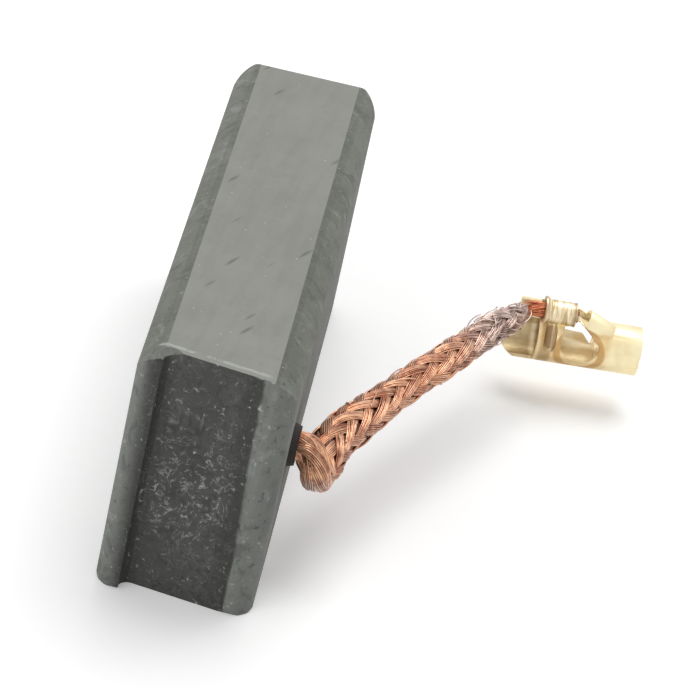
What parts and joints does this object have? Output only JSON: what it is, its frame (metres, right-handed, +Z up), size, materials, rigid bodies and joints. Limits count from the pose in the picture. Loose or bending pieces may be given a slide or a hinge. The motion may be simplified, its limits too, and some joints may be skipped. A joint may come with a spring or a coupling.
{
  "type": "carbon brush",
  "caption": "Rectangular carbon brush with a plaited copper shunt and a small folded brass crimp terminal.",
  "frame": {"origin": "middle of the underside of the carbon block", "axes": "+Y along the block towards its contact end, +X out of the side that the shunt leaves, +Z up out of the ground top face"},
  "size_m": [0.02, 0.0274, 0.0106],
  "materials": {
    "graphite": "matt, ground on top",
    "tamping": "matt powder",
    "copper": "bright plaited wire",
    "brass": "bright thin sheet"
  },
  "bodies": {
    "root": {"carbon_block": "graphite", "tamping_plug": "tamping", "shunt_lead": "copper", "terminal": "brass"}
  },
  "joints": []
}
